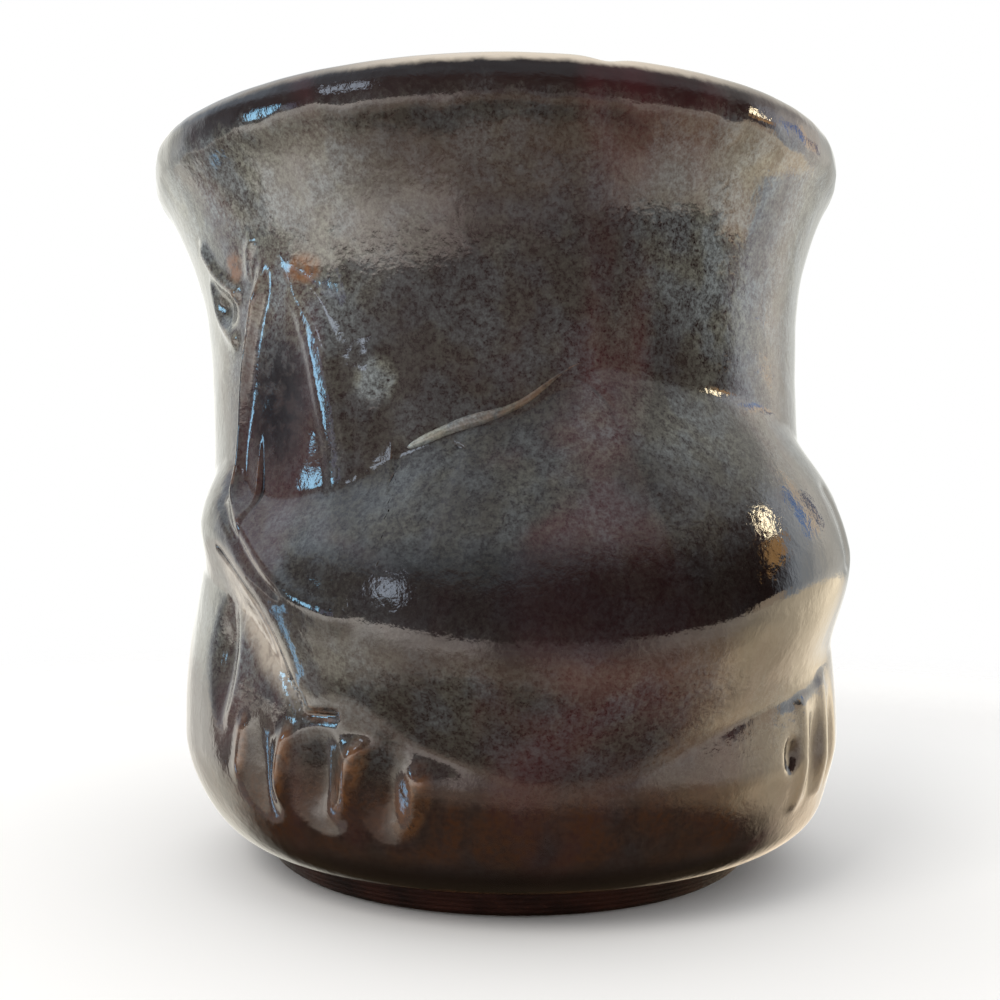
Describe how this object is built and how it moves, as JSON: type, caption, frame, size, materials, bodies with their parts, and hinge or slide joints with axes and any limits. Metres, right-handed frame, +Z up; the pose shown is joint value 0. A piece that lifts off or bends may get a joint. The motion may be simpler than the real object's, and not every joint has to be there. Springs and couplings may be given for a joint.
{
  "type": "fish mug",
  "caption": "Handmade ceramic mug with a flared lip, a bare clay foot, a strap handle and a fish in relief round the wall.",
  "frame": {"origin": "middle of the foot's flat underside, on the surface that the mug stands on", "axes": "+Z up, -Y towards the front of the mug where the fish's belly is, +Y along the handle, +X towards the fish's head"},
  "size_m": [0.0972, 0.1293, 0.0966],
  "materials": {
    "dark_glaze": "gloss",
    "hazy_glaze": "gloss",
    "bare_clay": "matte"
  },
  "bodies": {
    "root": {"cup_wall": "dark_glaze", "foot": "bare_clay", "fish_body": "hazy_glaze", "fish_head": "hazy_glaze", "tail_fin": "hazy_glaze", "back_fin": "hazy_glaze", "upper_lip": "hazy_glaze", "lower_lip": "hazy_glaze", "eye": "dark_glaze", "handle": "dark_glaze"}
  },
  "joints": []
}
